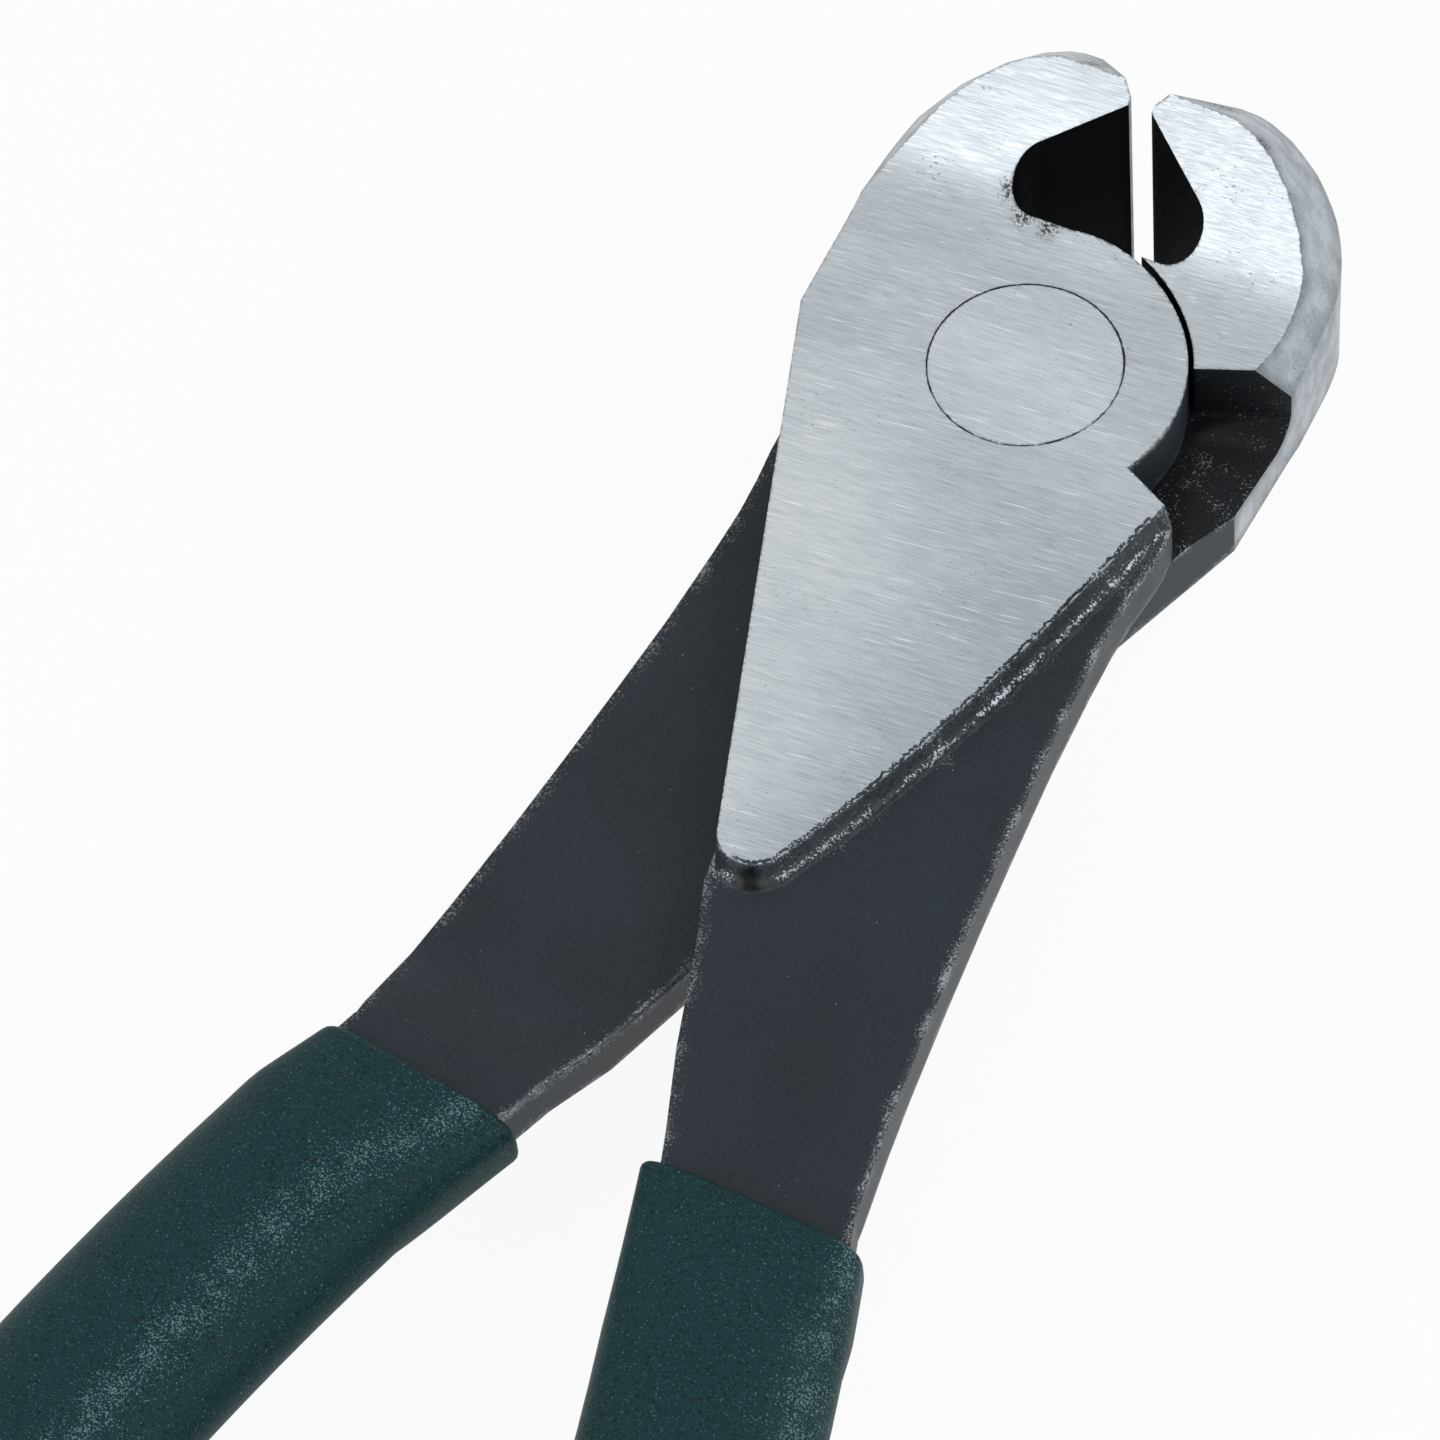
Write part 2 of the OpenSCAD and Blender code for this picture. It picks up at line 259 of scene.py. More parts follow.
@dataclass(frozen=True)
class GroundSteel:
    """Chrome-vanadium steel, flat-ground on a belt: pale, satin, with one-way scratches."""

    name: str = "ground_chrome_vanadium_steel"
    low: str = "#9EA6AD"
    high: str = "#C8CED2"
    bright: str = "#F2F3F4"
    # The colour of grime, and of the painted shade along the edges
    grime: str = "#2C2F33"
    # How far grime and the painted edge shade take the metal's shine away
    dulling: float = 0.8
    roughness: float = 0.4
    rough_spread: Pair = (0.04, -0.06)
    relief: Pair = (0.35, 0.02)
    # Direction of the grinding
    turn: float = 4.0
    # A 120-grit scratch is about 0.06 wide; 0.1 shows in the render
    scratches: tuple[Grain, ...] = (
        Grain((2.4, 0.1, 0.1), 2.0, 0.0, 0.28, 0.72, 0.55),
        Grain((9.0, 0.28, 0.28), 3.0, 40.0, 0.32, 0.7, 0.22, turn=2.0),
        Grain((14.0, 9.0, 9.0), 4.0, 80.0, 0.3, 0.7, 0.24),
    )
    # Painted glints: bright streaks laid into the colour along the grinding
    glints: Grain = Grain((4.2, 0.13, 0.13), 1.0, 120.0, 0.66, 0.76, 0.55, turn=4.0)
    # Cloudy patches, either way from the middle tone
    patches: Grain = Grain((2.6, 1.6, 2.6), 4.0, 520.0, 0.35, 0.65)
    mottle: float = 0.0
    # Stray scratches from handling, across the grinding
    nicks: tuple[Grain, ...] = (
        Grain((2.2, 0.07, 1.0), 2.0, 410.0, 0.7, 0.78, 0.35, turn=63.0),
        Grain((1.8, 0.07, 1.0), 2.0, 450.0, 0.71, 0.79, 0.35, turn=-48.0),
    )
    # Pits that the grinding didn't reach, and the patches that they lie in
    pits: Grain = Grain((0.42, 0.22, 0.3), 3.0, 160.0, 0.64, 0.7)
    pitted: Grain = Grain((5.0, 4.0, 5.0), 2.0, 200.0, 0.52, 0.66)
    pitting: float = 0.6
    # Small chips along the sharp edges
    chips: Grain = Grain(0.4, 3.0, 240.0, 0.42, 0.6)
    chip_reach: float = 0.45
    chip_base: float = 0.2
    chip_limits: Pair = (0.12, 0.2)
    # Painted shade: a grey band that darkens the faces along their edges
    painted_edge_shade: float = 0.0
    edge_shade_reach: float = 2.2
    edge_shade_full: float = 0.02
    # Painted light and shade: the cheek's tone is made lighter on one side and darker on the other,
    # as light falls across it. The change fans out from behind the cheek's pointed end, between two
    # directions, and is full some way behind the pivot
    painted_light: float = 0.0
    shading_fan: Pair = (0.5, -75.0)
    shading_turns: Pair = (73.0, 107.0)
    shading_balance: float = 0.58
    shading_full: float = -24.0
    # Where grinding dust stays: each smudge's place in the row frame and its radius
    smudges: tuple[Triple, ...] = ()
    pepper: Grain = Grain(0.24, 3.0, 330.0)
    pepper_crowding: float = 0.19
    pepper_limits: Pair = (0.6, 0.74)
    smudge_veil: float = 0.12
    # The seam round the rivet's head, and the ends of its uneven width as shares
    seam_radius: float = 8.03
    seam_width: float = 0.09
    seam_grain: Grain = Grain(1.2, 3.0, 300.0)
    seam_limits: Pair = (0.35, 0.7)
    seam_shares: Pair = (0.35, 1.3)

    def material(self) -> Material:
        """Makes the material: scratches, painted glints, grime, painted shade and the rivet's seam.

        Returns:
            The material.
        """
        material = bpy.data.materials.new(self.name)
        web = Web.on(material)
        layers = [web.grain(layer, self.turn) for layer in self.scratches]
        if self.mottle:
            patches = web.combine("SUBTRACT", web.grain(self.patches, self.turn), 0.5)
            layers.append(web.combine("MULTIPLY", patches, self.mottle))
        # Painted light and shade across the cheek
        if self.painted_light:
            layers.append(self.painted_shading(web))
        sheen = web.combine("ADD", *layers)
        colour = web.blend(sheen, self.low, self.high)
        colour = web.blend(web.grain(self.glints, self.turn), colour, self.bright)
        dark = web.combine("MAXIMUM", *self.marks(web))
        loss = web.combine("MULTIPLY", dark, self.dulling)
        ends = (self.roughness + change for change in self.rough_spread)
        web.surface(
            {
                "Base Color": web.blend(dark, colour, self.grime),
                "Metallic": web.combine("SUBTRACT", 1.0, loss),
                "Roughness": web.spread(sheen, 0.0, 1.0, *ends),
                "Normal": web.bump(sheen, self.relief),
            }
        )
        return material

    def marks(self, web: Web) -> list[Socket]:
        """All that is dark on the steel: pits, chips, nicks, the seam, dust and the painted edge
        shade.

        Args:
            web: the material's node tree.

        Returns:
            For each kind of mark, a value that is 1 where it is black.
        """
        pits = web.grain(self.pits, self.turn)
        near = web.edge_nearness(self.chip_reach)
        chips = web.combine("ADD", self.chip_base, web.grain(self.chips))
        marks = [
            web.combine("MULTIPLY", pits, web.grain(self.pitted), self.pitting),
            web.ramp(web.combine("MULTIPLY", near, chips), *self.chip_limits),
            self.seam(web),
        ]
        marks += [web.grain(nick) for nick in self.nicks]
        if self.painted_edge_shade:
            # Painted shade near the edges
            shade = web.ramp(web.edge_nearness(self.edge_shade_reach), 0.0, self.edge_shade_full)
            marks.append(web.combine("MULTIPLY", shade, self.painted_edge_shade))
        return marks + [self.smudge(web, *smudge) for smudge in self.smudges]

    def painted_shading(self, web: Web) -> Socket:
        """Painted light and shade: a slow change of tone across the cheek, lighter on one side.

        Args:
            web: the material's node tree.

        Returns:
            What is added to the sheen.
        """
        place = web.add("SeparateXYZ", {0: web.place()})
        x, y = (
            web.combine("SUBTRACT", place.outputs[axis], start * MM)
            for axis, start in zip("XY", self.shading_fan)
        )
        first, last = (math.radians(turn) for turn in self.shading_turns)
        across = web.ramp(web.combine("ARCTAN2", y, x), first, last)
        tone = web.combine("SUBTRACT", across, self.shading_balance)
        behind = web.ramp(place.outputs["Y"], 0.0, self.shading_full * MM)
        return web.combine("MULTIPLY", tone, self.painted_light, behind)

    def smudge(self, web: Web, x: float, y: float, radius: float) -> Socket:
        """A peppered smudge of grinding dust, dense at its middle.

        Args:
            web: the material's node tree.
            x: the middle's place across the tool.
            y: the middle's place along the tool.
            radius: where the smudge ends.

        Returns:
            A value that is highest in its specks.
        """
        dense = web.ramp(web.away(x, y), radius * MM, 0.0)
        crowded = web.combine("MULTIPLY", dense, self.pepper_crowding)
        pepper = web.combine("ADD", web.grain(self.pepper), crowded)
        specks = web.combine("MULTIPLY", web.ramp(pepper, *self.pepper_limits), dense)
        return web.combine("ADD", web.combine("MULTIPLY", dense, self.smudge_veil), specks)

    def seam(self, web: Web) -> Socket:
        """The hairline round the rivet's head, where oil and grime stand.

        Args:
            web: the material's node tree.

        Returns:
            A value that is 1 on the seam.
        """
        off = web.combine("SUBTRACT", web.away(0.0, 0.0), self.seam_radius * MM)
        ends = (share * self.seam_width * MM for share in self.seam_shares)
        width = web.spread(web.grain(self.seam_grain), *self.seam_limits, *ends)
        return web.combine("LESS_THAN", web.combine("ABSOLUTE", off, 0.0), width)


@dataclass(frozen=True)
class BlackForging:
    """Drop-forged steel under black oxide: satin, faintly grained, rubbed bright on its edges."""

    name: str = "black_oxide_forging"
    skin: str = "#20282F"
    dust: str = "#293239"
    worn: str = "#A9AFB5"
    scale: str = "#040506"
    specular: float = 0.22
    roughness: float = 0.42
    rough_spread: Pair = (-0.05, 0.07)
    relief: Pair = (0.5, 0.04)
    rounding: float = 0.9
    # Shot-blasted grain of about 0.25 and a slow change of tone
    skin_grains: tuple[Grain, Grain] = (
        Grain(0.25, 3.0, weight=0.5),
        Grain(11.0, 3.0, 40.0, weight=0.5),
    )
    skin_limits: Pair = (0.35, 0.65)
    rough_limits: Pair = (0.3, 0.7)
    # Worn specks: their strength, how they crowd to the edges, and how many lie elsewhere
    wear: float = 1.0
    crowding: float = 0.74
    flecks: float = -0.04
    speck_grains: tuple[Grain, Grain] = (
        Grain(0.2, 2.0, 90.0, weight=0.9),
        Grain(2.6, 2.0, 140.0, weight=0.5),
    )
    speck_limits: Pair = (0.94, 1.0)
    edge_reach: float = 2.2
    edge_share: float = 0.31
    shine: float = 0.8
    # The mesh's own record of the rubbing, where it has one, and where that is black scale
    rub: str = ""
    rub_share: float = 0.3
    scale_full: float = -0.8

    def material(self) -> Material:
        """Makes the material: forging skin, fine grain, and worn specks that crowd to the edges.

        Returns:
            The material.
        """
        material = bpy.data.materials.new(self.name)
        web = Web.on(material)
        mixed = web.combine("ADD", *(web.grain(layer) for layer in self.skin_grains))
        colour = web.blend(web.ramp(mixed, *self.skin_limits), self.skin, self.dust)
        if self.rub:
            rubbed = web.add("Attribute", attribute_name=self.rub).outputs["Fac"]
            near = web.combine("MULTIPLY", rubbed, self.rub_share)
            # Below 0 the rubbing turns to black scale
            colour = web.blend(web.ramp(rubbed, 0.0, self.scale_full), colour, self.scale)
        else:
            # The square root makes the rubbing fall off evenly from the edge
            near = web.combine("MULTIPLY", web.edge_nearness(self.edge_reach), self.edge_share)
            near = web.combine("SQRT", near, 0.0)
        crowded = web.combine("MULTIPLY", near, self.crowding)
        specks = web.combine("ADD", crowded, *(web.grain(layer) for layer in self.speck_grains))
        start, full = (limit - self.flecks for limit in self.speck_limits)
        worn = web.combine("MULTIPLY", web.ramp(specks, start, full), self.wear)
        ends = (self.roughness + change for change in self.rough_spread)
        web.surface(
            {
                "Base Color": web.blend(worn, colour, self.worn),
                "Metallic": web.combine("MULTIPLY", worn, self.shine),
                "Roughness": web.spread(mixed, *self.rough_limits, *ends),
                "Specular IOR Level": self.specular,
                "Normal": web.bump(mixed, self.relief, Normal=web.rounded(self.rounding)),
            }
        )
        return material


@dataclass(frozen=True)
class FoamedVinyl:
    """Plastisol dipped and foamed in the oven: matt dark green, with open cells like a sponge."""

    name: str = "foamed_vinyl_dip"
    deep: str = "#031615"
    base: str = "#073236"
    pale: str = "#7BA0A3"
    roughness: float = 0.5
    specular: float = 0.18
    cells: Grain = Grain(0.3, 2.0)
    fine: Grain = Grain(0.16, 1.0, 50.0)
    cloud: Grain = Grain(6.0, 3.0, 100.0)
    # Weights of the cells and the cloud in the tone, and of the cells and the fine grain in height
    tone_weights: Pair = (0.9, 0.1)
    tone_limits: Pair = (0.34, 0.46)
    height_weights: Pair = (0.7, 0.4)
    relief: Pair = (0.7, 0.12)
    # Painted highlight: pale specks crowd in patches along the crown, where a lamp's highlight falls
    highlight_patches: Grain = Grain(2.0, 3.0, 150.0, 0.3, 0.6, 0.1)
    highlight_base: float = 0.06
    speck_limits: Pair = (0.64, 0.78)
    speck_share: float = 0.6

    def material(self) -> Material:
        """Makes the material: cells, pinholes, pale specks, a slow change of tone and a painted
        highlight.

        Returns:
            The material.
        """
        material = bpy.data.materials.new(self.name)
        web = Web.on(material)
        cells, fine, cloud = (web.grain(layer) for layer in (self.cells, self.fine, self.cloud))
        tone = web.weigh(*zip((cells, cloud), self.tone_weights))
        colour = web.blend(web.ramp(tone, *self.tone_limits), self.deep, self.base)
        # Painted highlight: the mesh marks where a highlight lies on the crown, and pale specks crowd
        # there on top of the foam's own
        painted_light = web.add("Attribute", attribute_name="painted_light").outputs["Fac"]
        patchy = web.combine("ADD", self.highlight_base, web.grain(self.highlight_patches))
        rubbed = web.combine("ADD", fine, web.combine("MULTIPLY", painted_light, patchy))
        specks = web.combine("MULTIPLY", web.ramp(rubbed, *self.speck_limits), self.speck_share)
        height = web.weigh(*zip((cells, fine), self.height_weights))
        web.surface(
            {
                "Base Color": web.blend(specks, colour, self.pale),
                "Roughness": self.roughness,
                "Specular IOR Level": self.specular,
                "Normal": web.bump(height, self.relief),
            }
        )
        return material


class Layer(Enum):
    """Which way up a half lies: the upper one as drawn, the lower one turned over."""

    UPPER = 1
    LOWER = -1


class Zone(Enum):
    """How a face of the forging was finished, or which painted shade it takes, in the order of the
    material slots.
    """

    GROUND = 0
    BLACK = 1
    DEEP = 2
    FLANK = 3
    SCALE = 4


@dataclass(frozen=True)
class Stance:
    """Where a closed half stands in the row frame."""

    layer: Layer
    mid_plane: float = 6.2
    rest_open: float = 3.8

    def matrix(self) -> Matrix:
        """The way from the closed half's millimetres to the row frame's metres.

        Returns:
            The matrix.
        """
        turned = Matrix.Rotation(math.pi if self.layer is Layer.LOWER else 0.0, 4, "Y")
        opened = Matrix.Rotation(math.radians(self.layer.value * self.rest_open / 2), 4, "Z")
        lifted = Matrix.Translation((0.0, 0.0, self.mid_plane))
        return Matrix.Scale(MM, 4) @ lifted @ opened @ turned

    def way_back(self) -> tuple[Matrix, Matrix]:
        """The way from the row frame to the closed half, for places and for directions."""
        back = self.matrix().inverted()
        return back, back.to_3x3().normalized()


@dataclass
class Forging:
    """One forged half: jaw, lap, cheek and rein in one piece, ground on its cheeks and jaw."""

    name: str
    node: str
    body: str
    stance: Stance
    packed: Object
    half_thickness: float = 6.2
    jaw_half_width: float = 19.6
    shoulder_radius: float = 13.0
    shoulder_at: Pair = (-6.6, 15.0)
    # The jaw's front starts this far from the shoulder's middle, and its round edge is this deep
    shoulder_core: float = 3.0
    shoulder_band: float = 3.0
    neck_back: float = 1.2
    jaw_start: float = -0.7
    bevel_depth: float = 2.6
    edge_at: Pair = (-0.3, 22.4)
    edge_land: float = 0.5
    flank_fade: float = 2.0
    lap_radius: float = 13.2
    # The painted shade on the lap's flat faces ends at these places behind and beside the pivot
    lap_shade: float = 16.0
    lap_side: float = 1.0
    hollow_back: float = 10.0
    hollow_half: float = 9.0
    flare_start: float = 8.0
    flare_radius: float = 12.0
    flare_angle: float = 40.0
    flank_lean: float = 32.0
    nose_lean: float = 43.0
    sharp: float = 25.0
    # How far off a flat and a curved surface a facet's middle may lie, and a corner off the lap
    slack: float = 0.1
    curve_slack: float = 0.4
    corner_slack: float = 0.02
    # A direction's share along the pivot: on a level face, a lap's face, a slope and a wall
    level: float = 0.99
    lap_level: float = 0.9
    half_level: float = 0.5
    sloped: float = 0.4
    upright: float = 0.1
    # A direction's share across the tool on the flare, and along it on the jaw's front
    swept_share: float = 0.05
    front_share: float = 0.3
    merge: float = 0.002
    flat_angle: float = 0.4
    # A curved direction is used only where it lies this close to the facet's own
    likeness: float = 0.9

    def zone(self, centre: Vector, normal: Vector) -> Zone:
        """Says how a face of the closed half was finished, or which painted shade it takes.

        Args:
            centre: the face's middle, in the closed half's millimetres.
            normal: the face's outward direction there.

        Returns:
            The zone.
        """
        off_cheek = self.half_thickness - abs(centre.z)
        outward = normal.z * math.copysign(1.0, centre.z)
        swept = normal.y < 0.0 and abs(normal.x) < self.swept_share * normal.xy.length
        on_flare = outward > self.sloped and swept and centre.y > self.flare_start
        if on_flare or (off_cheek < self.slack and outward > self.level):
            return Zone.GROUND
        on_jaw = centre.y > self.jaw_start and centre.x < 0.0
        if on_jaw and outward > self.sloped and off_cheek < self.bevel_depth:
            return Zone.FLANK
        shoulder = Vector(self.shoulder_at)
        reach = (centre.xy - shoulder).length
        edge_y = self.edge_at[1] - self.slack
        flank = (
            (centre.y > shoulder.y and reach > self.shoulder_radius - self.curve_slack)
            or (centre.x < self.curve_slack - self.jaw_half_width and centre.y > self.flank_fade)
            or (normal.x > self.level and centre.y > edge_y - self.edge_land)
            or (normal.y > self.front_share and reach > self.shoulder_core and centre.y > edge_y)
        )
        if flank and abs(normal.z) < self.sloped:
            return Zone.FLANK
        if abs(normal.z) < self.upright and abs(centre.xy.length - self.lap_radius) < self.slack:
            return Zone.BLACK
        # Walls at the jaw's root take a painted shade, a darker one in the hollows
        if centre.y > -self.neck_back and abs(normal.z) < self.level:
            in_hollow = centre.y > self.hollow_back and centre.x > -self.hollow_half
            return Zone.DEEP if in_hollow else Zone.SCALE
        # Lap faces under the other half take the painted shade
        if centre.y > -self.lap_shade and centre.x < self.lap_side and outward < -self.half_level:
            return Zone.SCALE
        return Zone.BLACK

    def build(self) -> Object:
        """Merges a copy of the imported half, finds its zones and smooths its curves.

        Returns:
            The half as an object.
        """
        shape = bmesh.new()
        shape.from_mesh(self.packed.data)
        bmesh.ops.remove_doubles(shape, verts=shape.verts[:], dist=self.merge * MM)
        flat = math.radians(self.flat_angle)
        bmesh.ops.dissolve_limit(shape, angle_limit=flat, verts=shape.verts[:], edges=shape.edges[:])
        shape.normal_update()
        bmesh.ops.triangulate(shape, faces=self.lap_faces(shape))
        there = self.stance.matrix()
        for place in (Vector((0.0, -self.lap_shade, 0.0)), Vector((self.lap_side, 0.0, 0.0))):
            lap = self.lap_faces(shape)
            bmesh.ops.bisect_plane(
                shape,
                geom=list({part for face in lap for part in (face, *face.verts, *face.edges)}),
                plane_co=there @ place,
                plane_no=there.to_3x3() @ place,
            )
        shape.normal_update()
        back, turn = self.stance.way_back()
        normals = []
        for face in shape.faces:
            facing = (turn @ face.normal).normalized()
            zone = self.zone(back @ face.calc_center_median(), facing)
            face.material_index = zone.value
            for loop in face.loops:
                smooth = self.true_normal(back @ loop.vert.co, facing, zone)
                normals.append(turn.transposed() @ smooth)
        return place_mesh(self.name, shape, self.sharp, normals)

    def lap_faces(self, shape: Shape) -> list[bmesh.types.BMFace]:
        """The flat faces that look at the other half, where the painted shade's border needs an edge.

        Args:
            shape: the half, in the row frame.

        Returns:
            The faces.
        """
        back, turn = self.stance.way_back()
        found = []
        for face in shape.faces:
            height = (back @ face.calc_center_median()).z
            if (turn @ face.normal).z * math.copysign(1.0, height) < -self.lap_level:
                found.append(face)
        return found

    def true_normal(self, point: Vector, facing: Vector, zone: Zone) -> Vector:
        """The direction that the real, curved surface has at a corner of a flat facet.

        Args:
            point: the corner, in the closed half's millimetres.
            facing: the facet's own direction.
            zone: the facet's finish.

        Returns:
            A direction of length one.
        """
        side = math.copysign(1.0, facing.z)
        if zone is Zone.GROUND and facing.z * side > self.half_level:
            swept = limited((point.y - self.flare_start) / self.flare_radius)
            slope = min(math.asin(swept), math.radians(self.flare_angle))
            return Vector((0.0, -math.sin(slope), side * math.cos(slope)))
        smooth = facing
        from_shoulder = point.xy - Vector(self.shoulder_at)
        inner = self.shoulder_radius - self.shoulder_band
        on_lap = abs(point.xy.length - self.lap_radius) < self.corner_slack
        if abs(facing.z) < self.upright and on_lap:
            smooth = Vector((*point.xy.normalized(), 0.0))
        elif (
            zone is Zone.FLANK
            and from_shoulder.y > 0.0
            and from_shoulder.length > inner
            and facing.xy.dot(from_shoulder) > 0.0
        ):
            around = from_shoulder.normalized()
            lean = 0.0
            if abs(facing.z) > self.sloped:
                more = (self.nose_lean - self.flank_lean) * around.y**2
                lean = math.radians(self.flank_lean + more)
            smooth = Vector((*(math.cos(lean) * around), side * math.sin(lean)))
        return smooth if smooth.dot(facing) > self.likeness else facing

    def dress(self, piece: Object, finishes: dict[Zone, Material]) -> None:
        """Gives each zone its material and makes the half move with its body.

        Args:
            piece: the half as an object.
            finishes: the material of each zone.
        """
        for zone in Zone:
            piece.data.materials.append(finishes[zone])
        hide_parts(self.node)
        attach(piece, self.body)


@dataclass
class FlashBead:
    """The broken lip and the rolled bead of forging flash along a cheek's long edge."""

    name: str
    body: str
    stance: Stance
    corner_radius: float = 17.9
    notch_angle: float = 27.6
    tip_at: Pair = (-1.1, -48.7)
    tip_radius: float = 3.0
    tip_turns: Pair = (-25.5, -138.0)
    tip_steps: int = 12
    # How the edge bellies out between its corner and its tip, as shares of that length
    belly_shares: tuple[Pair, ...] = (
        (0.15, 0.022),
        (0.33, 0.044),
        (0.5, 0.061),
        (0.66, 0.072),
        (0.82, 0.077),
    )
    # Distance out from the cheek's edge, height over the middle plane, and how rubbed it is
    profile: tuple[Triple, ...] = (
        (-0.5, 6.17, 0.9),
        (-0.34, 6.215, 0.9),
        (-0.16, 6.21, 0.6),
        (0.02, 6.19, 0.5),
        (0.16, 5.97, 0.3),
        (0.3, 5.65, 0.3),
        (0.44, 5.35, 0.35),
        (0.58, 5.08, 0.5),
        (0.72, 4.88, 0.8),
        (0.86, 4.78, 1.0),
        (0.98, 4.62, 0.9),
        (1.1, 4.37, 0.2),
        (1.22, 4.22, 0.0),
        (1.4, 4.1, 0.0),
    )
    # The first columns are the broken lip, and the last ones lie down on the rein
    lip_columns: int = 4
    foot_columns: int = 3
    foot_share: float = 0.3
    # A pit in the flash below the cheek's pointed end, where the scale stays black
    pit_at: Pair = (0.0, -52.3)
    pit_radius: float = 1.0
    pit_rub: float = -1.0
    pit_ragged: float = 0.35
    step: float = 0.2
    # How far the lip breaks back, and how far the bead swells and shrinks
    ragged: float = 0.34
    lumpy: float = 0.2
    lip_shares: Pair = (0.45, 0.9)
    bead_share: float = 0.5
    # Noise along the edge and across it, and its shift from the other two
    wave: Triple = (0.9, 0.0, 0.0)
    chip: Triple = (2.6, 1.0, 9.0)
    lump: Triple = (1.4, 2.2, 21.0)
    column_step: float = 0.25
    half_shift: float = 3.0
    # Over this length the bead dies away at its ends, to this share and this much lower
    fade: float = 1.6
    fade_share: float = 0.3
    fade_drop: float = 0.6
    # Rows on either side that the edge's direction is taken from
    reach_rows: int = 3
    sharp: float = 60.0

    def path(self) -> list[Vector]:
        """The cheek's long edge and its pointed end from above, as evenly spaced points.

        Returns:
            The points, in the closed half's millimetres.
        """
        notch = math.radians(self.notch_angle)
        corner = self.corner_radius * Vector((math.cos(notch), -math.sin(notch)))
        tip = Vector(self.tip_at)
        run = tip - corner
        proud = Vector((-run.y, run.x))
        line = [corner] + [corner + along * run + out * proud for along, out in self.belly_shares]
        first, last = (math.radians(turn) for turn in self.tip_turns)
        for part in range(self.tip_steps + 1):
            turn = first + (last - first) * part / self.tip_steps
            line.append(tip + self.tip_radius * Vector((math.cos(turn), math.sin(turn))))
        points = [line[0]]
        spare = 0.0
        for start, end in zip(line, line[1:]):
            length = (end - start).length
            at = self.step - spare
            while at < length:
                points.append(start.lerp(end, at / length))
                at += self.step
            spare = length - (at - self.step)
        return points

    def build(self) -> Object:
        """Lays a grid along the edge and pushes it about with noise, as hot flash rolls over.

        Returns:
            The bead as an object.
        """
        points = self.path()
        shape = bmesh.new()
        rubbed = shape.verts.layers.float.new("rub")
        last_row, last_column = len(points) - 1, len(self.profile) - 1
        bmesh.ops.create_grid(shape, x_segments=last_row, y_segments=last_column, size=0.5)
        to_frame = self.stance.matrix()
        for vert in shape.verts:
            row = round((vert.co.x + 0.5) * last_row)
            column = round((vert.co.y + 0.5) * last_column)
            before = points[max(row - self.reach_rows, 0)]
            along = (points[min(row + self.reach_rows, last_row)] - before).normalized()
            share = min(min(row, last_row - row) * self.step / self.fade, 1.0)
            out, height, rub, chip = self.broken(row, column)
            out *= self.fade_share + (1.0 - self.fade_share) * share
            height -= (1.0 - share) * self.fade_drop
            flat = points[row] + out * Vector((-along.y, along.x))
            away = (flat - Vector(self.pit_at)).length / self.pit_radius + self.pit_ragged * chip
            vert[rubbed] = rub + (self.pit_rub - rub) * math.exp(-away * away)
            vert.co = to_frame @ Vector((flat.x, flat.y, height))
        return place_mesh(self.name, shape, self.sharp)

    def broken(self, row: int, column: int) -> tuple[float, float, float, float]:
        """A point of the profile after the noise has pushed it.

        Args:
            row: the point's place along the edge.
            column: its place across the profile.

        Returns:
            Its distance out, its height, how rubbed it is, and the chips' noise there.
        """
        out, height, rub = self.profile[column]
        last = len(self.profile) - 1
        shift = self.half_shift * self.stance.layer.value
        seed = Vector((row * self.step, column * self.column_step, shift))
        wave, chip, lump = (
            noise.noise(Vector((seed.x * along, seed.y * across, seed.z + apart)))
            for along, across, apart in (self.wave, self.chip, self.lump)
        )
        if column < self.lip_columns:
            out += self.ragged * (self.lip_shares[0] * wave + self.lip_shares[1] * chip)
        elif column < last:
            on_foot = column > last - self.foot_columns
            out += self.bead_share * self.lumpy * wave
            height += self.lumpy * lump * (self.foot_share if on_foot else 1.0)
        return out, height, rub, chip

    def dress(self, piece: Object, finish: Material) -> None:
        """Gives the bead its black oxide and makes it move with its half.

        Args:
            piece: the bead as an object.
            finish: the black oxide.
        """
        piece.data.materials.append(finish)
        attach(piece, self.body)


@dataclass
class FlushRivet:
    """The pivot rivet: a shank with a head at each end, ground flush with the cheeks."""

    name: str = "flush_rivet"
    node: str = "rivet"
    body: str = "upper"
    length: float = 12.4
    head_radius: float = 8.0
    head_thickness: float = 2.2
    shank_radius: float = 5.0
    edge: float = 0.05
    steps: int = 96
    merge: float = 0.001
    sharp: float = 25.0

    def build(self) -> Object:
        """Spins the rivet's profile round its axis.

        Returns:
            The rivet as an object.
        """
        half = [
            (0.0, 0.0),
            (self.head_radius / 2, 0.0),
            (self.head_radius - self.edge, 0.0),
            (self.head_radius, self.edge),
            (self.head_radius, self.head_thickness),
            (self.shank_radius, self.head_thickness),
        ]
        profile = half + [(r, self.length - z) for r, z in reversed(half)]
        shape = bmesh.new()
        points = [shape.verts.new((r * MM, 0.0, z * MM)) for r, z in profile]
        edges = [shape.edges.new(pair) for pair in zip(points, points[1:])]
        bmesh.ops.spin(
            shape,
            geom=points + edges,
            cent=(0.0, 0.0, 0.0),
            axis=UP,
            angle=2 * math.pi,
            steps=self.steps,
            use_merge=True,
        )
        bmesh.ops.remove_doubles(shape, verts=shape.verts[:], dist=self.merge * MM)
        return place_mesh(self.name, shape, self.sharp)

    def dress(self, piece: Object, finish: Material) -> None:
        """Gives the rivet its steel and makes it move with the upper half.

        Args:
            piece: the rivet as an object.
            finish: the ground steel.
        """
        piece.data.materials.append(finish)
        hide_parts(self.node)
        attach(piece, self.body)


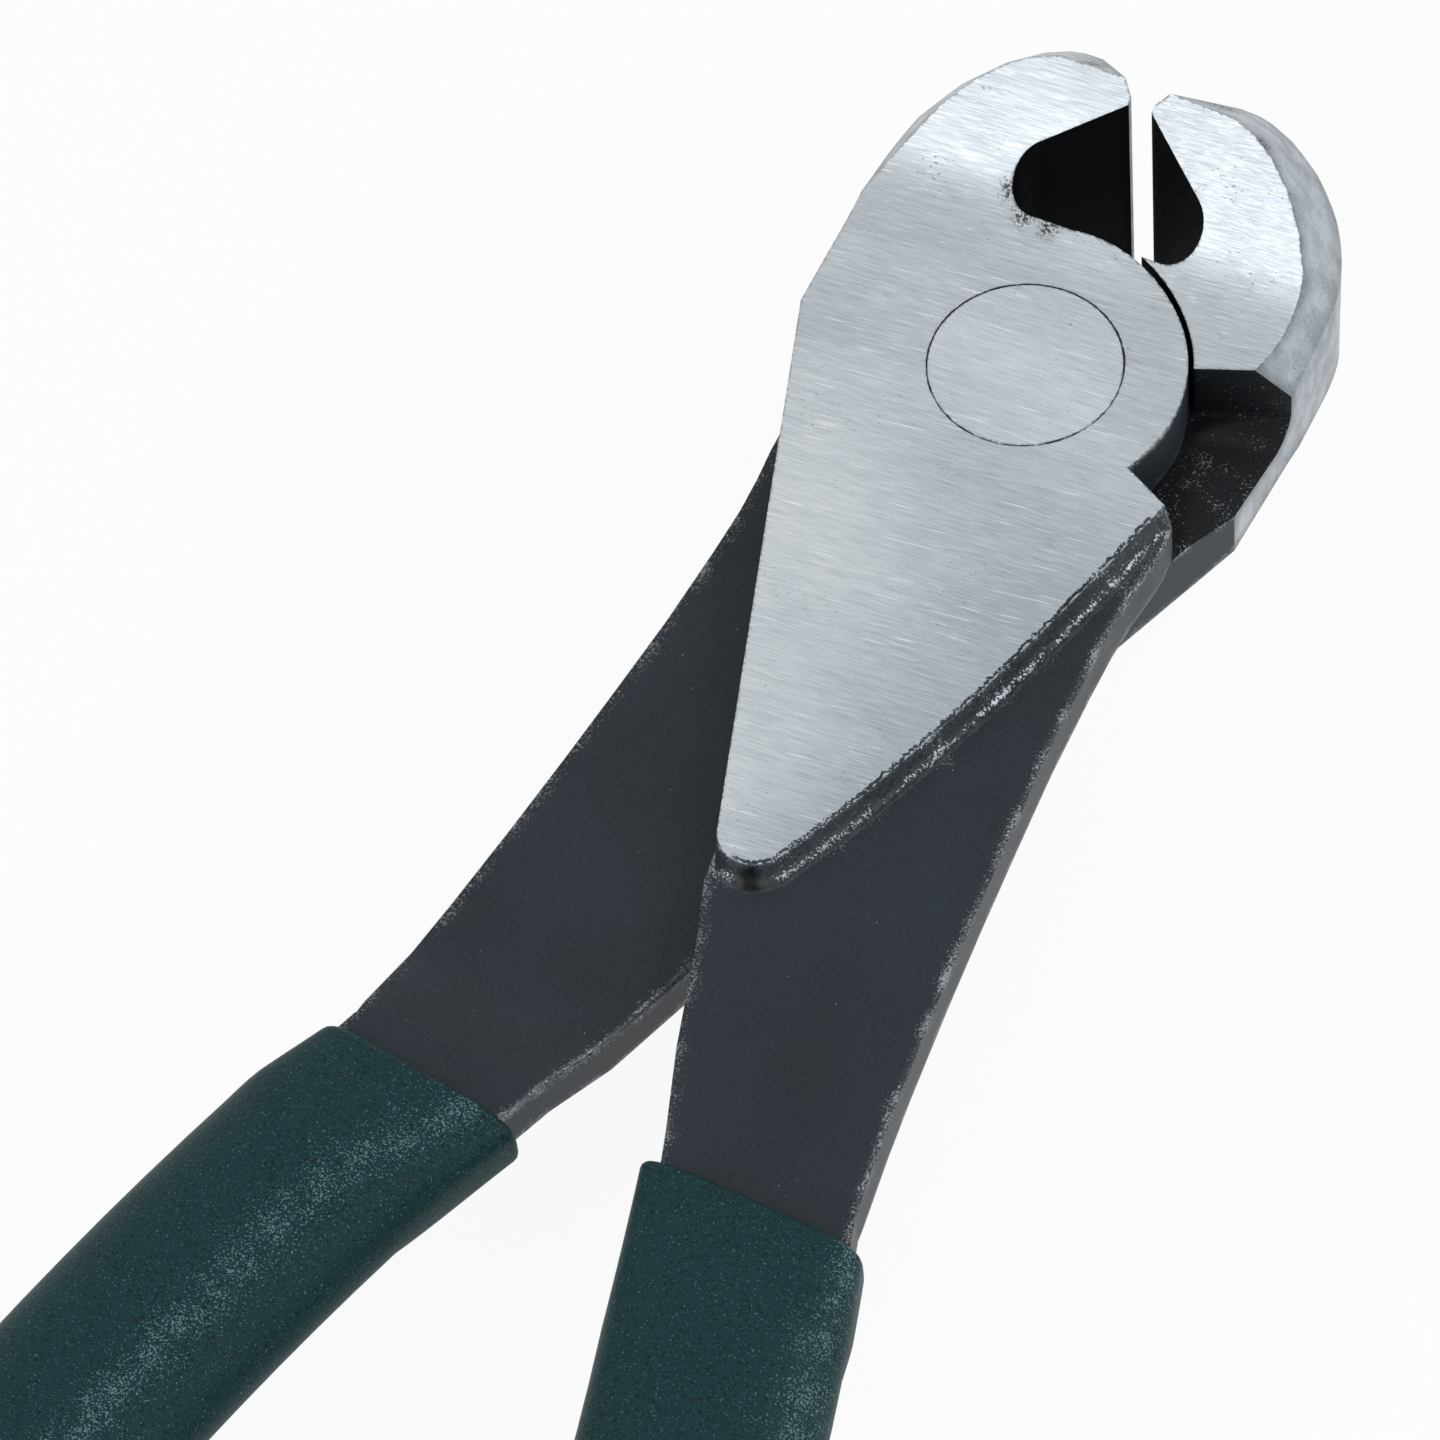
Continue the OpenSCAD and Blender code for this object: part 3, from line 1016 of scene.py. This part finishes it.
@dataclass(frozen=True)
class Section:
    """A crowned section of the grip, and how far along the bow it stands."""

    run: float
    # Reach towards the other handle and away from it
    inner: float
    outer: float
    # Half of the thickness
    rise: float
    # Squareness of the section, 2 for an ellipse
    power: float

    def point(self, angle: float) -> Vector:
        """The distance outwards and the height of the section's point at an angle.

        Args:
            angle: the point's place round the section, in radians.

        Returns:
            The distance and the height.
        """
        cosine, sine = math.cos(angle), math.sin(angle)
        reach = self.outer if cosine > 0 else self.inner
        off = math.copysign(abs(cosine) ** (2 / self.power), cosine) * reach
        return Vector((off, math.copysign(abs(sine) ** (2 / self.power), sine) * self.rise))


@dataclass
class DippedGrip:
    """A foamed sleeve over the end of a rein, crowned, thin at its rim and closed at its end."""

    name: str
    node: str
    body: str
    stance: Stance
    # How far in the rim starts on its outer side, and how far the dip hangs outwards
    outer_swell: float
    hang: float
    # Where the painted highlight lies across the crown, and how wide it is, as the cosine of the
    # place round the section
    highlight_at: float
    # How much further back the rim stands at its outer and its inner end
    rim_back: Pair
    highlight_width: float = 0.22
    width: float = 18.5
    thickness: float = 10.36
    rim_thickness: float = 7.0
    swell: float = 12.0
    swell_quick: float = 8.0
    lip: float = 0.8
    rim: float = 76.2
    hang_length: float = 40.0
    rein_width: float = 15.3
    rein_thickness: float = 4.15
    rein_mid: float = 0.725
    fit: float = 0.06
    rein_length: float = 75.0
    handle_off: float = 11.4
    slope: float = 17.5
    bow_radius: float = 270.0
    handle_length: float = 92.0
    # Over this length the sections turn from lying along the rim to standing across the bow
    square_blend: float = 16.0
    # Squareness at the rim, along the grip, at its end and in the room for the rein
    rim_power: float = 4.0
    power: float = 2.15
    end_power: float = 2.0
    room_power: float = 14.0
    # How many points and sections the mesh has
    sides: int = 56
    lip_steps: int = 4
    swell_steps: int = 8
    straight_steps: int = 18
    end_steps: int = 11
    room_steps: int = 12
    room_end_steps: int = 6
    # The last ring stops this share of a step before the middle of the round end
    open_share: float = 0.5
    sharp: float = 40.0

    def bow_centre(self) -> Vector:
        """The middle of the handle's bow, seen from above.

        Returns:
            The place, in the closed half's millimetres.
        """
        slope = math.radians(self.slope)
        arm = Vector((math.cos(slope), math.sin(slope)))
        return Vector((self.handle_off, -self.rein_length)) - self.bow_radius * arm

    def rim_run(self) -> float:
        """How far along the bow the rim stands, at the middle of the grip."""
        turn = math.asin((-self.rim - self.bow_centre().y) / self.bow_radius)
        return (math.radians(self.slope) - turn) * self.bow_radius

    def on_bow(self, run: float, off: float, up: float) -> Vector:
        """A point of the grip, in the row frame.

        Args:
            run: distance along the bow behind the rim, at the grip's middle.
            off: distance outwards from the bow.
            up: height over the rein's middle.

        Returns:
            The point, in metres.
        """
        centre = self.bow_centre()
        slope = math.radians(self.slope)
        along = slope - (self.rim_run() + run) / self.bow_radius
        side = 0.5 + off / self.width
        lean = self.rim_back[0] * side + self.rim_back[1] * (1.0 - side)
        behind = -centre.y - self.rim - lean - run * math.cos(slope)
        across = math.asin(behind / (self.bow_radius + off))
        turn = across + (along - across) * eased(run / self.square_blend)
        fall = eased((run - self.hang_length) / self.hang_length)
        off += self.hang * min(run / self.swell, 1.0) * (1.0 - fall)
        flat = centre + (self.bow_radius + off) * Vector((math.cos(turn), math.sin(turn)))
        return self.stance.matrix() @ Vector((flat.x, flat.y, self.rein_mid + up))

    def skin(self) -> list[Section]:
        """The sections that the skin runs through, from the rim to the closed end.

        Returns:
            The sections.
        """
        full, rise = self.width / 2, self.thickness / 2
        straight = self.handle_length - self.rim_run()
        rings = []
        for step in range(self.lip_steps + 1):
            angle = step / self.lip_steps * math.pi / 2
            inset = self.lip * (1 - math.sin(angle))
            run, rim_rise = self.lip * (1 - math.cos(angle)), self.rim_thickness / 2 - inset
            outer = full - self.outer_swell - inset
            rings.append(Section(run, full - inset, outer, rim_rise, self.rim_power))
        for step in range(1, self.swell_steps + 1):
            share = step / self.swell_steps
            quick = min(1.0, share * self.swell / self.swell_quick)
            outer = full - self.outer_swell * (1 - quick)
            more = (self.thickness - self.rim_thickness) * (share + eased(share)) / 2
            power = self.rim_power + (self.power - self.rim_power) * share
            run = self.lip + (self.swell - self.lip) * share
            rings.append(Section(run, full, outer, (self.rim_thickness + more) / 2, power))
        for step in range(1, self.straight_steps + 1):
            run = self.swell + (straight - self.swell) * step / self.straight_steps
            rings.append(Section(run, full, full, rise, self.power))
        for step in range(1, self.end_steps + 1):
            angle = step * math.pi / 2 / (self.end_steps + self.open_share)
            ahead, reach = math.sin(angle), full * math.cos(angle)
            lower = rise * (1 - ahead**self.power) ** (1 / self.power)
            power = self.power + (self.end_power - self.power) * ahead
            rings.append(Section(straight + full * ahead, reach, reach, lower, power))
        return rings

    def room(self) -> list[Section]:
        """The sections of the room for the rein, from the rim to its closed end.

        Returns:
            The sections.
        """
        across = self.rein_width / 2 + self.fit
        rise = self.rein_thickness / 2 + self.fit
        straight = self.handle_length - self.rim_run()
        rings = [
            Section(straight * step / self.room_steps, across, across, rise, self.room_power)
            for step in range(self.room_steps + 1)
        ]
        for step in range(1, self.room_end_steps + 1):
            angle = step * math.pi / 2 / (self.room_end_steps + self.open_share)
            run, reach = straight + across * math.sin(angle), across * math.cos(angle)
            rings.append(Section(run, reach, reach, rise, self.room_power))
        return rings

    def grow(self, shape: Shape, angles: dict, sections: list[Section]) -> dict:
        """Extrudes the open ring of the skin through a list of sections.

        Args:
            shape: the skin so far.
            angles: the open ring's vertices, each with its place round the section.
            sections: the sections to run through.

        Returns:
            The last ring's vertices and their places.
        """
        painted_light = shape.verts.layers.float["painted_light"]
        for section in sections:
            grown = bmesh.ops.extrude_edge_only(shape, edges=ring_edges(angles))["geom"]
            moved = {}
            for vert in (part for part in grown if isinstance(part, bmesh.types.BMVert)):
                others = (edge.other_vert(vert) for edge in vert.link_edges)
                moved[vert] = angles[next(other for other in others if other in angles)]
            for vert, angle in moved.items():
                vert.co = self.on_bow(section.run, *section.point(angle))
                # Painted highlight: its weight at this vertex
                off_highlight = (math.cos(angle) - self.highlight_at) / self.highlight_width
                vert[painted_light] = math.exp(-(off_highlight**2))
            angles = moved
        return angles

    def build(self) -> Object:
        """Grows the skin from the lip to the closed end, and from the lip into the room.

        Returns:
            The grip as an object.
        """
        shape = bmesh.new()
        # The painted highlight's weight at each vertex
        shape.verts.layers.float.new("painted_light")
        bmesh.ops.create_circle(shape, cap_ends=False, radius=1.0, segments=self.sides)
        lip = {v: math.atan2(v.co.y, v.co.x) for v in shape.verts}
        first, *others = self.skin()
        for vert, angle in lip.items():
            vert.co = self.on_bow(first.run, *first.point(angle))
        ends = [self.grow(shape, lip, others), self.grow(shape, lip, self.room())]
        for end in ends:
            bmesh.ops.contextual_create(shape, geom=ring_edges(end))
        return place_mesh(self.name, shape, self.sharp)

    def dress(self, piece: Object, finish: Material) -> None:
        """Gives the grip its vinyl and makes it move with its half.

        Args:
            piece: the grip as an object.
            finish: the vinyl.
        """
        piece.data.materials.append(finish)
        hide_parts(self.node)
        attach(piece, self.body)


def add_object(name: str, data: bpy.types.ID) -> Object:
    """Puts a new object with its data in the scene.

    Args:
        name: the object's name.
        data: its mesh, lamp or camera.

    Returns:
        The object.
    """
    item = bpy.data.objects.new(name, data)
    bpy.context.scene.collection.objects.link(item)
    return item


def ring_edges(ring: dict) -> list[bmesh.types.BMEdge]:
    """The edges that join a ring's vertices to each other, each of them once."""
    edges = [e for v in ring for e in v.link_edges if e.other_vert(v) in ring]
    return list(dict.fromkeys(edges))


def place_mesh(
    name: str, shape: Shape, sharp: float, normals: list[Vector] | None = None
) -> Object:
    """Turns a finished bmesh to an object at the origin, smooth but for its sharp edges.

    Args:
        name: the object's name.
        shape: the bmesh, which is freed.
        sharp: angle between faces from which an edge stays sharp.
        normals: the true normal at each face corner, where they are known.

    Returns:
        The object.
    """
    if not normals:
        bmesh.ops.recalc_face_normals(shape, faces=shape.faces[:])
    for face in shape.faces:
        face.smooth = True
    mesh = bpy.data.meshes.new(name)
    shape.to_mesh(mesh)
    shape.free()
    mesh.set_sharp_from_angle(angle=math.radians(sharp))
    piece = add_object(name, mesh)
    if normals:
        mesh.normals_split_custom_set(normals)
    else:
        weighted = piece.modifiers.new("flat faces stay flat", "WEIGHTED_NORMAL")
        weighted.keep_sharp = True
        weighted.weight = 100
    return piece


@dataclass(frozen=True)
class Softbox:
    """A round soft lamp, a metre from the tool."""

    direction: Triple
    size: float
    power: float


@dataclass
class Studio:
    """A pale floor, two soft lamps, a white surround and the camera, with places in metres."""

    white: str = "#FFFFFF"
    paper: str = "#F4F5F6"
    floor_z: float = -0.0094
    floor_half: float = 1.5
    middle: Triple = (0.0, -0.04, 0.0)
    eye: Triple = (0.13405, -0.25077, 0.40952)
    view: Triple = (-0.29904, 0.44604, -0.84358)
    right: Triple = (0.88444, 0.46145, -0.06954)
    up: Triple = (-0.35826, 0.76689, 0.53249)
    focal: float = 150.0
    sensor: float = 36.0
    near_clip: float = 0.01
    surround: float = 0.55
    shadow_share: float = 0.08
    lamps: tuple[Softbox, ...] = (
        Softbox((-0.46, -0.68, 0.56), 0.75, 2.3),
        Softbox((0.75, 0.35, 0.75), 0.8, 2.6),
    )

    def seen_directly(self, web: Web) -> Socket:
        """Tells what the camera sees, straight, mirrored or through glass.

        Args:
            web: the material's or the world's node tree.

        Returns:
            A value that is 1 there and else 0.
        """
        path = web.add("LightPath")
        rays = ("Is Glossy Ray", "Is Transmission Ray", "Is Camera Ray")
        return web.combine("MAXIMUM", *(path.outputs[ray] for ray in rays))

    def build_world(self) -> None:
        """Makes the surround: white where it is seen, and a plain level of light elsewhere."""
        world = bpy.data.worlds.new("studio")
        web = Web.on(world)
        level = web.spread(self.seen_directly(web), 0.0, 1.0, self.surround, 1.0)
        shell = web.add("Background", {"Color": self.white, "Strength": level})
        web.add("OutputWorld", {"Surface": shell.outputs["Background"]})
        bpy.context.scene.world = world

    def build_floor(self) -> None:
        """Makes the floor: pale paper that keeps a faint shadow of the tool."""
        shape = bmesh.new()
        bmesh.ops.create_grid(shape, x_segments=1, y_segments=1, size=self.floor_half)
        bmesh.ops.translate(shape, verts=shape.verts[:], vec=self.floor_z * UP)
        mesh = bpy.data.meshes.new("floor")
        shape.to_mesh(mesh)
        shape.free()
        floor = add_object("floor", mesh)
        material = bpy.data.materials.new("white_paper")
        web = Web.on(material)
        paper = web.add("BsdfDiffuse", {"Color": self.paper}).outputs["BSDF"]
        glow = web.add("Emission", {"Color": self.white, "Strength": 1.0})
        share = web.combine("MULTIPLY", self.seen_directly(web), 1.0 - self.shadow_share)
        both = web.add("MixShader", {0: share, 1: paper, 2: glow.outputs["Emission"]})
        web.add("OutputMaterial", {"Surface": both.outputs["Shader"]})
        mesh.materials.append(material)

    def build_lamps(self) -> None:
        """Hangs the soft lamps, each turned to the tool."""
        for number, softbox in enumerate(self.lamps):
            data = bpy.data.lights.new(f"softbox_{number}", "AREA")
            data.shape = "DISK"
            data.size = softbox.size
            data.energy = softbox.power
            lamp = add_object(f"softbox_{number}", data)
            arm = Vector(softbox.direction).normalized()
            lamp.location = Vector(self.middle) + arm
            lamp.rotation_euler = arm.to_track_quat("Z", "Y").to_euler()

    def build_camera(self) -> None:
        """Sets up the camera at the photograph's place, angle and focal length."""
        data = bpy.data.cameras.new("camera")
        data.lens = self.focal
        data.sensor_width = self.sensor
        data.clip_start = self.near_clip
        camera = add_object("camera", data)
        axes = Matrix((self.right, self.up, -Vector(self.view))).transposed()
        camera.matrix_world = Matrix.Translation(self.eye) @ axes.to_4x4()
        bpy.context.scene.camera = camera

    def build(self) -> None:
        """Sets up everything round the tool."""
        self.build_world()
        self.build_floor()
        self.build_lamps()
        self.build_camera()
        bpy.context.scene.view_settings.view_transform = "Standard"


def forging_finishes() -> dict[Zone, Material]:
    """Makes the materials of a forged half.

    Returns:
        The material of each zone.
    """
    # The cheek's colour carries a painted light-and-shade gradient across it
    cheek = GroundSteel(
        painted_light=0.85, smudges=((-8.1, 14.3, 2.0), (-6.4, 12.9, 2.2), (-4.0, 12.6, 1.9))
    )
    flank = GroundSteel(
        name="coarse_ground_flank",
        low="#969EA4",
        high="#BAC1C7",
        bright="#DDE2E5",
        turn=-20.0,
        pitting=0.9,
        # Painted shade along the flank's edges
        painted_edge_shade=0.45,
        mottle=0.6,
        smudges=((-5.4, 24.5, 2.4), (5.8, 25.9, 2.6), (10.6, 22.4, 2.0)),
        chip_reach=1.0,
        roughness=0.46,
    )
    # Painted shade: a darker copy of the black forging for recesses and the faces under the other
    # half
    scale = BlackForging(
        name="recess_shade_black_forging",
        skin="#0C0F12",
        dust="#1A1E22",
        roughness=0.5,
        specular=0.12,
        crowding=0.0,
        flecks=0.1,
        wear=0.35,
        rounding=0.8,
    )
    # Painted shade: a still darker copy of the black forging for the jaws' hollows
    deep = BlackForging(
        name="hollow_shade_black_forging",
        skin="#050608",
        dust="#090B0E",
        roughness=0.55,
        specular=0.04,
        crowding=0.0,
        flecks=0.0,
        wear=0.25,
        rounding=1.2,
    )
    finishes = {
        Zone.GROUND: cheek,
        Zone.BLACK: BlackForging(),
        Zone.DEEP: deep,
        Zone.FLANK: flank,
        Zone.SCALE: scale,
    }
    return {zone: finish.material() for zone, finish in finishes.items()}


def main() -> None:
    """Loads the frame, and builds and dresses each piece."""
    logging.basicConfig(level=logging.INFO, format="%(name)s: %(message)s")
    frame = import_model()
    Studio().build()
    steel = forging_finishes()
    rivet_steel = GroundSteel(name="ground_rivet_steel", low="#A9B1B7", high="#CED4D9", turn=1.0)
    flash = BlackForging(
        name="black_oxide_flash",
        skin="#1D2227",
        dust="#40474E",
        worn="#A6ADB4",
        roughness=0.38,
        specular=0.25,
        crowding=0.8,
        flecks=0.0,
        rub="rub",
        rounding=0.1,
    ).material()
    vinyl = FoamedVinyl().material()
    nodes = frame["nodes"]
    upper, lower = Stance(Layer.UPPER), Stance(Layer.LOWER)
    # The last plain number places each grip's painted highlight across its crown
    right_grip = DippedGrip(
        "right_dipped_grip", "right_grip", "upper", upper, 0.5, -0.7, 0.78, rim_back=(0.8, 0.0)
    )
    left_grip = DippedGrip(
        "left_dipped_grip", "left_grip", "lower", lower, 0.6, 0.6, -0.35, rim_back=(0.0, 1.6)
    )
    parts = (
        (Forging("upper_forging", "upper_half", "upper", upper, nodes["upper_half"]), steel),
        (FlashBead("upper_flash_bead", "upper", upper), flash),
        (Forging("lower_forging", "lower_half", "lower", lower, nodes["lower_half"]), steel),
        (FlashBead("lower_flash_bead", "lower", lower), flash),
        (FlushRivet(), rivet_steel.material()),
        (right_grip, vinyl),
        (left_grip, vinyl),
    )
    for part, finish in parts:
        piece = part.build()
        part.dress(piece, finish)
        report(piece)


def report(piece: Object) -> None:
    """Logs a piece's name, faces and size in millimetres.

    Args:
        piece: the piece.
    """
    places = zip(*(corner[:] for corner in piece.bound_box))
    size = [(max(place) - min(place)) / MM for place in places]
    log.info("%s: %d faces, %.1f x %.1f x %.1f mm", piece.name, len(piece.data.polygons), *size)


if __name__ == "__main__":
    main()
